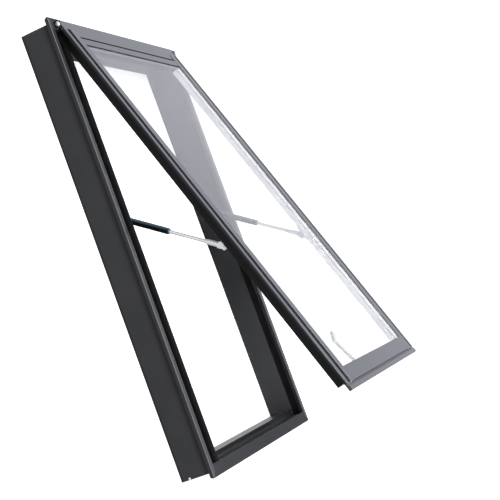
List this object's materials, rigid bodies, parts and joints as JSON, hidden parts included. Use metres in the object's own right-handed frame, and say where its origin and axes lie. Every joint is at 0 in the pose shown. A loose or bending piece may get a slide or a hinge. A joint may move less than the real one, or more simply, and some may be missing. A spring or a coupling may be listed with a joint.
{
  "type": "top-hung roof window",
  "caption": "Roof window with a hollow dark metal frame and rim, a double-glazed sash standing open on head pins, gas struts at the sides and a turning handle.",
  "frame": {"origin": "middle of the frame's underside", "axes": "+X across the window, +Y up the roof slope to the hinged end, +Z out of the roof"},
  "size_m": [0.78, 1.18, 0.4738],
  "materials": {
    "frame_paint": "satin dark grey powder coat",
    "cover_paint": "satin dark grey powder coat",
    "sash_paint": "satin dark grey powder coat",
    "seal_rubber": "matt black",
    "clear_glass": "clear",
    "spacer_metal": "matt mill finish",
    "dark_steel": "black coated",
    "bright_steel": "zinc plated",
    "strut_paint": "gloss black",
    "rod_steel": "polished",
    "black_plastic": "moulded",
    "handle_metal": "satin"
  },
  "bodies": {
    "root": {"foot_cover": "cover_paint", "frame_head": "frame_paint", "frame_side_left": "frame_paint", "frame_side_right": "frame_paint", "frame_sill": "frame_paint", "glass_spacer": "spacer_metal", "glazing_seal": "seal_rubber", "handle_lever": "handle_metal", "handle_plate": "handle_metal", "head_cover": "cover_paint", "head_seal": "seal_rubber", "hinge_block_left": "dark_steel", "hinge_block_right": "dark_steel", "hinge_bracket_left": "dark_steel", "hinge_bracket_right": "dark_steel", "hinge_pin_left": "bright_steel", "hinge_pin_right": "bright_steel", "inner_pane": "clear_glass", "outer_pane": "clear_glass", "sash_foot": "sash_paint", "sash_head": "sash_paint", "sash_side_left": "sash_paint", "sash_side_right": "sash_paint", "side_cover_left": "cover_paint", "side_cover_right": "cover_paint", "side_seal_left": "seal_rubber", "side_seal_right": "seal_rubber", "sill_seal": "seal_rubber", "strut_cylinder_left": "strut_paint", "strut_cylinder_right": "strut_paint", "strut_foot_bracket_left": "dark_steel", "strut_foot_bracket_right": "dark_steel", "strut_foot_eye_left": "black_plastic", "strut_foot_eye_right": "black_plastic", "strut_head_bracket_left": "dark_steel", "strut_head_bracket_right": "dark_steel", "strut_head_eye_left": "bright_steel", "strut_head_eye_right": "bright_steel", "strut_rod_left": "rod_steel", "strut_rod_right": "rod_steel"}
  },
  "joints": []
}
